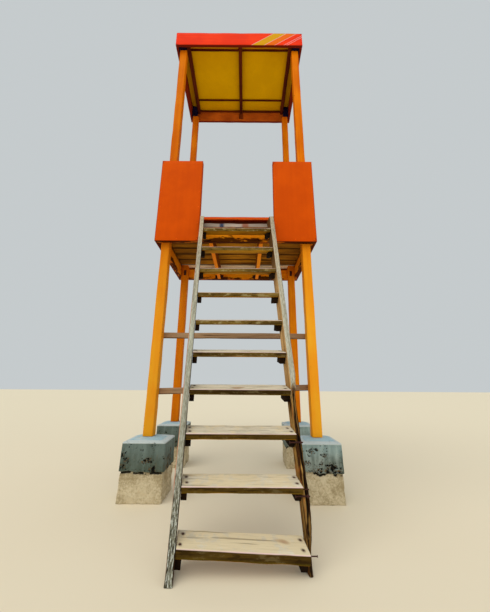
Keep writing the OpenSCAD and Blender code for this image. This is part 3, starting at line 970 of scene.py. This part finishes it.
# Slant and rack: x moves by topX + shift * (1 - s / length) - tan(rack) * n, where s runs up the slope of the
# ladder and n goes in behind its front edges
def slantLadder(points, values=ladderValues):
    ahead = points[..., 1] - ladderFootY
    slope = ahead * math.sin(lean) + points[..., 2] * math.cos(lean)
    behind = ahead * math.cos(lean) - points[..., 2] * math.sin(lean)
    share = slope * math.cos(lean) / deckTop
    moved = points.copy()
    moved[..., 0] += (values["topX"] + values["shift"] * (1 - share)
                      - math.tan(math.radians(values["rack"])) * behind)
    return moved


# Where a tread's upper front edge lies, before the slant: lifted, tilted, and the first one rolled
def treadPlace(number, values=ladderValues):
    height = values["treadFirst"] + values["treadRise"] * number
    roll = math.atan(values["treadDrop"] / values["treadWidth"]) if number == 0 else 0.0
    place = Matrix.Translation((0, ladderFootY + height * math.tan(lean), height))
    return place @ Matrix.Rotation(math.radians(values["treadTilt"]), 4, "X") @ Matrix.Rotation(roll, 4, "Y")


# A point of a tread, from the middle of its upper front edge
def onTread(number, x, y, z):
    return slantLadder(np.array(treadPlace(number) @ Vector((x, y, z))))


# A tread's nails wander a little from their line
def nailSpots(number, values=ladderValues):
    spots = []
    for side in (-1, 1):
        for y in values["nailY"]:
            wander = values["nailWander"] * math.sin(number * 2.3 + side * 2.8 + y * 40)
            spots.append((side * values["nailX"] + wander, y + wander * 0.8))
    return spots


# A board of the ladder, lying as its tread does and then slanted with it
def ladderBoard(low, high, along, number, seed, kind):
    made = board(low, high, along, seed, place=treadPlace(number), **boardValues[kind])
    made["grid"] = slantLadder(made["grid"])
    return made


# Treads with stains that fade away from their nails, and a cleat under each end of each tread
def makeTreadsAndCleats(values):
    inside = values["treadWidth"] / 2 - values["treadGap"]
    near = (values["treadDepth"] - values["cleatDepth"]) / 2
    cleats = []
    for number in range(values["treadCount"]):
        bottom = -values["firstThickness" if number == 0 else "treadThickness"]
        high = (inside, values["treadDepth"], 0)
        made = ladderBoard((-inside, 0, bottom), high, xAxis, number, 101 + number, "tread")
        x, y, z = np.moveaxis(made["spot"], -1, 0)
        stain = np.zeros(x.shape)
        for nailX, nailY in nailSpots(number):
            away = np.hypot(x - nailX, y - nailY + values["treadDepth"] / 2)
            stain = np.maximum(stain, ease(away, values["nailStain"] * 1.5, values["nailStain"] * 0.4))
        made["stain"] = stain * ease(z, 0.0, 0.01)
        node = f"tread_{number + 1:02d}"
        makePiece("board_" + node, [made], "firstTread" if number == 0 else "tread", node)
        for left in (-inside, inside - values["cleatThickness"]):
            first = number == 0 and left < 0
            low = (left, near, bottom - values["firstCleatHeight" if first else "cleatHeight"])
            high = (left + values["cleatThickness"], near + values["cleatDepth"], bottom)
            cleats.append(ladderBoard(low, high, yAxis, number, 121 + number, "cleat"))
    makePiece("board_cleats", cleats, "cleat", "cleats")


# Stringer: a rounded rectangle carried up the slope of the ladder, each of its lines cut off level at the
# ground and at its top, and pressed flat against the platform's front. Where the right one is rotten, its
# front lines lie further back by lost * (1 - behind / depth), and grooves run up its face and inner side
def makeStringer(side, seed, values):
    node = "stringer_" + side
    isRight = side == "right"
    depth, thick = values["stringerDepth"], values["stringerThickness"]
    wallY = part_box("beam_front")[0].y
    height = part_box(node)[1].z
    at, inset = ringPlaces(height / math.cos(lean), 0.003, values["ringStep"])
    share = (at / at[-1])[:, None]
    profile, edge = roundedProfile(np.full(len(at), thick / 2), np.full(len(at), depth / 2),
                                   np.full((len(at), 4), values["cornerRadius"]), inset, values["flatStep"])
    across, behind = profile[..., 0], profile[..., 1] + depth / 2
    rough = np.stack([at[:, None] + 0 * across, across, behind], axis=-1) + seed
    roughHeight = at[:, None] * math.cos(lean)
    wander = layeredNoise(rough, 0.06, seed + 3, 4, (0.5, 1.5, 0.3))
    decay = ease(roughHeight + 0.07 * wander, values["rotTop"] + 0.02, values["rotTop"] - 0.12) * isRight
    uneven = 1 + 0.45 * layeredNoise(rough, 0.07, seed + 6, 4, (0.4, 1.2, 0.2))
    lost = decay * (values["rotDepth"] * uneven + values["footRot"] * ease(roughHeight, 0.24, 0.02))
    outer = np.clip(across / thick + 0.5, 0, 1) * decay
    thinner = outer * (values["rotSide"] * (0.6 + wander) + values["footSide"] * ease(roughHeight, 0.3, 0.03))
    moved = behind + lost * (1 - behind / depth)
    start = moved[:1] * math.tan(lean)
    finish = (height + moved * math.sin(lean)) / math.cos(lean)
    slope = start + (finish - start) * share
    z = slope * math.cos(lean) - moved * math.sin(lean)
    y = ladderFootY + slope * math.sin(lean) + moved * math.cos(lean)
    middle = (values["treadWidth"] + thick) / 2 * (1 if isRight else -1)
    grid = slantLadder(np.stack([middle + across - thinner, y, z], axis=-1))
    own = np.stack([slope, across, moved], axis=-1)
    dents = layeredNoise(own + seed, 0.025, seed, 4, (0.12, 1, 1))
    everywhere, nearGround = values["dentDepth"]
    press = (everywhere + nearGround * ease(z, 0.6, 0.15)) * np.clip(dents + 0.3, 0, 1)
    front = ease(behind, 0.03, 0.004)
    inner = ease(-across, thick / 2 - 0.006, thick / 2 - 0.001)
    drift = layeredNoise(rough, 0.12, seed + 12, 3, (0.35, 0, 0))
    cleftDrift, seamDrift = values["drift"]
    cleft = np.exp(-((across - values["cleft"] - cleftDrift * drift) / values["cleftWidth"]) ** 2)
    seams = sum(np.exp(-((moved - place - seamDrift * drift) / values["seamWidth"]) ** 2)
                for place in values["seams"])
    holes = ease(layeredNoise(rough, 0.05, seed + 9, 4, (0.3, 1, 1)), 0.3, 0.6)
    groove = np.clip(cleft * front + 0.8 * seams * inner + 0.7 * holes * front, 0, 1) * decay
    ends = np.minimum(1, np.minimum(at, at[-1] - at) / values["endReach"])[:, None]
    atFront, atInner = values["grooveDepth"]
    press = (press + groove * (atFront * front + atInner * inner)) * ends
    grid = grid - gridNormals(grid) * press[..., None]
    grid[..., 1] = np.minimum(grid[..., 1], wallY)
    grid[..., 2] = np.clip(grid[..., 2], 0, height)
    part = {"grid": grid, "own": own + seed, "spot": own, "edge": np.repeat(edge[None], len(at), axis=0),
            "pit": groove, "rot": decay + 0 * across}
    makePiece("board_" + node, [part], "stringerRight" if isRight else "stringerLeft", node)


makeTreadsAndCleats(ladderValues)
makeStringer("left", 131, ladderValues)
makeStringer("right", 137, ladderValues)
print("ladder made")

footingValues = {
    "crown": 0.02,
    "domeShare": 0.7,  # how much of the crown's height its lower slope takes
    "seat": 0.012,
    "batter": 0.006,
    "cornerRadius": 0.013,
    "rimRadius": 0.012,
    "step": 0.005,
    "groundLine": 0.225,
    "pitDepth": 0.014,
    "pitSpacing": 0.013,
    "pitEdge": (0.42, 0.58),  # noise from which a pit begins and from which it is full
    "rawDepth": 0.016,
    "lineWander": 0.026,  # how far the ground line wanders up and down
    "lineBlur": 0.004,
    "stepDepth": 0.008,  # how much further back the face lies right under the ground line
    "stepReach": 0.03,
    "waveDepth": 0.0012,
    # the worst pits of each front face: place from its middle, height and reach
    "pits": {
        "front_left": ((-0.127, 0.317, 0.026), (0.021, 0.303, 0.022), (0.063, 0.312, 0.03),
                       (-0.17, 0.35, 0.03), (-0.16, 0.27, 0.03), (0.09, 0.245, 0.03)),
        "front_right": ((-0.085, 0.39, 0.03), (-0.038, 0.4, 0.018), (0.018, 0.357, 0.026),
                        (-0.13, 0.3, 0.028), (-0.009, 0.3, 0.02), (0.068, 0.27, 0.04), (-0.042, 0.24, 0.035),
                        (0.051, 0.235, 0.04), (0.128, 0.23, 0.035), (-0.1, 0.225, 0.03)),
        "back_left": ((0.05, 0.28, 0.03), (-0.1, 0.32, 0.02)),
        "back_right": ((-0.06, 0.3, 0.03), (0.1, 0.26, 0.03)),
    },
}


# Footing: a rounded square carried up from the ground and drawn in over its domed top. Pits lie where noise,
# raised near the listed places, is high, and below the ground line the face is rough and set back
def makeFooting(corner, seed, values):
    node = "footing_" + corner
    low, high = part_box(node)
    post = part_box("post_" + corner)
    half = (high.y - low.y) / 2
    seat = (post[1].x - post[0].x) / 2 + values["seat"]
    shoulder = high.z - low.z - values["crown"]
    top = half - values["batter"]
    radius = values["rimRadius"]
    inner = top - radius
    rise = np.linspace(0, shoulder - radius, round(shoulder / values["step"]))
    turn = np.linspace(0, math.pi / 2, 8)[1:]
    slope = np.linspace(0, 1, 20)[1:]
    dome = np.interp(slope, (0, 0.5, 1), (0, values["domeShare"], 1))
    size = np.concatenate([half - (half - top) * rise / shoulder, inner + radius * np.cos(turn),
                           inner + (seat - inner) * slope])
    level = np.concatenate([rise, shoulder - radius + radius * np.sin(turn),
                            shoulder + values["crown"] * dome])
    worn = 0.7 + 0.9 * latticeNoise(cornerPoints(level, 7.7, seed), 0.06, seed)
    rounding = np.minimum(values["cornerRadius"] * worn, size[:, None] * 0.8)
    profile, edge = roundedProfile(size, size, rounding, np.zeros(len(level)), values["step"])
    x = profile[..., 0] * (high.x - low.x) / (high.y - low.y)
    y = profile[..., 1]
    z = level[:, None] + 0 * x
    grid = np.stack([x, y, z], axis=-1)
    normals = gridNormals(grid)
    sides = ease(normals[..., 2], 0.5, 0.2)
    crowd = np.zeros(x.shape)
    for place, pitHeight, reach in values["pits"][corner]:
        for across, facing in ((x, -normals[..., 1]), (place * 0.7 - 0.03 - y, normals[..., 0])):
            away = np.hypot(across - place, (z - pitHeight) * 1.3)
            crowd = np.maximum(crowd, ease(away, reach * 1.6, reach * 0.4) * ease(facing, 0.4, 0.8))
    lower = ease(z, values["groundLine"] + 0.13, values["groundLine"])
    speckle = layeredNoise(grid, values["pitSpacing"], seed)
    holes = ease(speckle + 0.3 * crowd + 0.07 * lower, *values["pitEdge"]) * sides
    line = values["groundLine"] + values["lineWander"] * layeredNoise(grid, 0.06, seed + 4, 4, (1, 1, 0.4))
    blur = values["lineBlur"]
    raw = ease(z, line + blur, line - blur)
    under = raw * ease(z, line - values["stepReach"], line - blur)
    ragged = np.clip(layeredNoise(grid, 0.05, seed + 5, 4) + 0.4, 0, 1)
    waves = np.clip(layeredNoise(grid, 0.05, seed + 7, 4) + 0.5, 0, 1)
    press = values["pitDepth"] * holes * (1 - raw) + values["rawDepth"] * raw * (0.35 + 0.65 * ragged)
    press = press + values["stepDepth"] * under + values["waveDepth"] * waves
    grid = grid - normals * press[..., None]
    grid[..., 2] = np.clip(grid[..., 2], 0, shoulder + values["crown"])
    grid = grid + np.array([(low.x + high.x) / 2, (low.y + high.y) / 2, low.z])
    part = {
        "grid": grid, "own": grid, "rot": raw,
        "edge": np.repeat(edge[None], len(z), axis=0),
        # pit: the pits and the step under the ground line, painted dark as their shade
        "pit": np.maximum(holes * (1 - raw), under * 0.8 * ease(ragged, 0.25, 0.5)),
        "rim": ease(np.abs(z - shoulder + radius * 0.2), radius * 1.3, radius * 0.5),
        "crowd": np.clip(crowd + 0.35 * lower, 0, 1) * sides,
    }
    makePiece("block_" + node, [part], "concrete", node)


for number, corner in enumerate(corners):
    makeFooting(corner, 151 + 7 * number, footingValues)
print("footings made")


# Turned shape: a circle of each profile radius, at each profile height along the axis from its place
def turned(place, axis, profile, sides=12):
    axis = np.array(axis, float) / np.linalg.norm(axis)
    helper = np.array([1.0, 0, 0]) if abs(axis[0]) < 0.9 else np.array([0, 1.0, 0])
    first = np.cross(axis, helper)
    first = first / np.linalg.norm(first)
    second = np.cross(axis, first)
    turn = np.linspace(0, 2 * math.pi, sides, endpoint=False)
    ring = np.cos(turn)[:, None] * first + np.sin(turn)[:, None] * second
    heights, radii = np.array(profile, float).T
    grid = radii[:, None, None] * ring[None] + heights[:, None, None] * axis + np.array(place, float)
    return {"grid": grid, "own": grid, "spot": grid, "edge": np.zeros(grid.shape[:2])}


# A low dome on a flat face
def domeProfile(radius, height):
    return [(-0.001, radius), (height * 0.45, radius * 0.95), (height * 0.8, radius * 0.72),
            (height, radius * 0.25)]


nailValues = {
    "head": (0.0065, 0.002),  # radius and height
    "headDrop": 0.0015,
    "long": 0.003,  # radius of the nails that the rot has laid bare
    "longSink": 0.01,
    "longReach": 0.034,
    "longAxis": (1, -0.05, 0.02),
    "longPlaces": ((0, 0.014, 0.013), (1, 0.016, 0.02)),  # tread, and how far behind and below its front edge
    "panelHead": (0.0045, 0.001),
    "panelGap": 0.19,
    "panelInset": 0.024,
}


# Nails: two heads at each end of each tread, and two long nails that the rot has laid bare
def makeNails(values):
    parts = []
    head = domeProfile(*values["head"])
    for number in range(ladderValues["treadCount"]):
        up = treadPlace(number).to_3x3() @ Vector((0, 0, 1))
        for x, y in nailSpots(number):
            parts.append(turned(onTread(number, x, y, -values["headDrop"]), up, head, 10))
    thin = values["long"]
    length = values["longSink"] + values["longReach"]
    profile = [(0, thin), (length, thin), (length, thin * 2), (length + 0.002, thin * 1.8)]
    inside = ladderValues["treadWidth"] / 2 - values["longSink"]
    for number, behind, down in values["longPlaces"]:
        parts.append(turned(onTread(number, inside, behind, -down), values["longAxis"], profile, 8))
    makePiece("treadNails", parts, "steel")


# Painted-over nail heads along the edges of the panels' outer faces
def makePanelNails(values):
    parts = []
    inset = values["panelInset"]
    for side in panels:
        low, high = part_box("panel_" + side)
        thin = xAxis if side in ("left", "right") else yAxis
        wide = yAxis if thin == xAxis else xAxis
        isFar = side in ("back", "right")
        outward = np.zeros(3)
        outward[thin] = 1 if isFar else -1
        for run, other in ((wide, zAxis), (zAxis, wide)):
            count = max(2, round((high[run] - low[run] - 2 * inset) / values["panelGap"]))
            places = np.linspace(low[run] + inset, high[run] - inset, count + 1)
            for place in places if run == wide else places[1:-1]:
                for level in (low[other] + inset, high[other] - inset):
                    spot = np.zeros(3)
                    spot[[thin, run, other]] = (high if isFar else low)[thin], place, level
                    parts.append(turned(spot, outward, domeProfile(*values["panelHead"]), 8))
    makePiece("panelNails", parts, "rail")


fastenerValues = {
    "bolt": (0.011, 0.008),  # radius and height of its head
    "boltLevels": (2.395, 2.435),
    "boltShift": 0.008,  # of those on the back posts, towards the middle
    "plate": (0.032, 0.004, 0.075),  # on each back post: width, thickness, height
    "plateSink": 0.001,
    "rod": 0.0045,
    "nut": 0.009,
    "nutInset": 0.004,
    "rodBehind": 0.01,  # how far it lies behind the tread's front edge
    "rodBelow": 0.016,
    "bracket": (0.036, 0.003, 0.045),  # leg, thickness, height
    "bracketRise": 0.012,
}


# Rods with nuts through the right stringer, under the second and third treads
def makeRods(values):
    parts = []
    rod, nut, inset = values["rod"], values["nut"], values["nutInset"]
    start = ladderValues["treadWidth"] / 2 - ladderValues["cleatThickness"] - inset
    length = ladderValues["cleatThickness"] + ladderValues["stringerThickness"]
    end = length - inset
    shaft = [(0, nut), (inset, nut), (inset + 0.0001, rod), (length + 0.004, rod),
             (length + 0.005, rod * 0.6)]
    outerNut = [(end - 0.01, nut * 0.4), (end - 0.0095, nut), (end, nut), (end + 0.0005, nut * 0.4)]
    drop = -ladderValues["treadThickness"] - values["rodBelow"]
    for number in (1, 2):
        spot = onTread(number, start, values["rodBehind"], drop)
        parts.append(turned(spot, (1, 0, 0), shaft, 8))
        parts.append(turned(spot, (1, 0, 0), outerNut, 6))
    makePiece("stringerRods", parts, "steel")


# Bolts: two behind each front post, and two on an upright plate on the front of each back post
def makeBolts(values):
    bolts = []
    plates = []
    width, thick, tall = values["plate"]
    centre = sum(values["boltLevels"]) / 2
    for corner in corners:
        low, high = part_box("post_" + corner)
        middle = (low.x + high.x) / 2
        face = high.y
        out = 1
        if corner.startswith("back"):
            middle += values["boltShift"] * (-1 if middle > 0 else 1)
            face = low.y
            out = -1
            left, bottom = middle - width / 2, centre - tall / 2
            high = (left + width, face + values["plateSink"], bottom + tall)
            plates.append(board((left, face - thick, bottom), high, zAxis, 171, **boardValues["plate"]))
            face -= thick
        for level in values["boltLevels"]:
            bolts.append(turned((middle, face, level), (0, out, 0), domeProfile(*values["bolt"])))
    makePiece("postBolts", bolts, "steel")
    makePiece("postPlates", plates, "steel")


# Angle brackets that tie the joists to the back beam, one leg on each
def makeBrackets(values):
    leg, thin, tall = values["bracket"]
    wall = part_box("beam_back")[0].y
    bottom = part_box("joists")[0].z + values["bracketRise"]
    boards = []
    for middle in (-towerValues["joistGap"] / 2, towerValues["joistGap"] / 2):
        for side in (-1, 1):
            face = middle + side * towerValues["beamThickness"] / 2
            for reach, deep, seed in ((thin, leg, 181), (leg, thin, 183)):
                left, right = sorted((face, face + side * reach))
                boards.append(board((left, wall - deep, bottom), (right, wall, bottom + tall), zAxis, seed,
                                    **boardValues["plate"]))
    makePiece("joistBrackets", boards, "steel")


makeNails(nailValues)
makePanelNails(nailValues)
makeRods(fastenerValues)
makeBolts(fastenerValues)
makeBrackets(fastenerValues)
print("nails, rods, bolts and brackets made")

stageValues = {
    "floorSize": 60.0,
    "floorDrop": 0.001,
    "floor": (226, 215, 190),
    "floorShine": 0.02,
    "sky": (218, 224, 226),
    "skyStrength": 0.8,
    "look": "Standard",  # the view transform that keeps the paint's colours
}


# A pale floor just under the footings, and a pale sky that lights the tower from all sides
def makeStage(values):
    half = values["floorSize"] / 2
    ends = ((-half, -half), (half, -half), (half, half), (-half, half))
    mesh = bpy.data.meshes.new("paleFloor")
    mesh.from_pydata([(x, y, -values["floorDrop"]) for x, y in ends], [], [(0, 1, 2, 3)])
    mesh.materials.append(Finish("paleFloor").surface(values["floor"], 0.9, values["floorShine"]))
    floor = bpy.data.objects.new("paleFloor", mesh)
    bpy.context.scene.collection.objects.link(floor)
    world = bpy.data.worlds.new("paleSky")
    world.use_nodes = True
    background = world.node_tree.nodes["Background"]
    background.inputs["Color"].default_value = (*linear(values["sky"]), 1.0)
    background.inputs["Strength"].default_value = values["skyStrength"]
    bpy.context.scene.world = world
    bpy.context.scene.view_settings.view_transform = values["look"]


lightValues = {
    "key": {"from": (-0.35, -0.55, 1.0), "spread": 60, "power": 1.5, "colour": (1.0, 0.95, 0.87)},
    "fill": {"from": (0.6, -1.0, 0.45), "spread": 70, "power": 0.45, "colour": (1.0, 0.97, 0.92)},
}


# Wide soft suns, which light the tower's foot and its roof alike
def makeLights(values):
    for name, light in values.items():
        data = bpy.data.lights.new(name, "SUN")
        data.angle = math.radians(light["spread"])
        data.energy = light["power"]
        data.color = light["colour"]
        lamp = bpy.data.objects.new(name, data)
        bpy.context.scene.collection.objects.link(lamp)
        lamp.matrix_world = Vector(light["from"]).to_track_quat("Z", "Y").to_matrix().to_4x4()


makeStage(stageValues)
makeLights(lightValues)
print("stage and lights made")
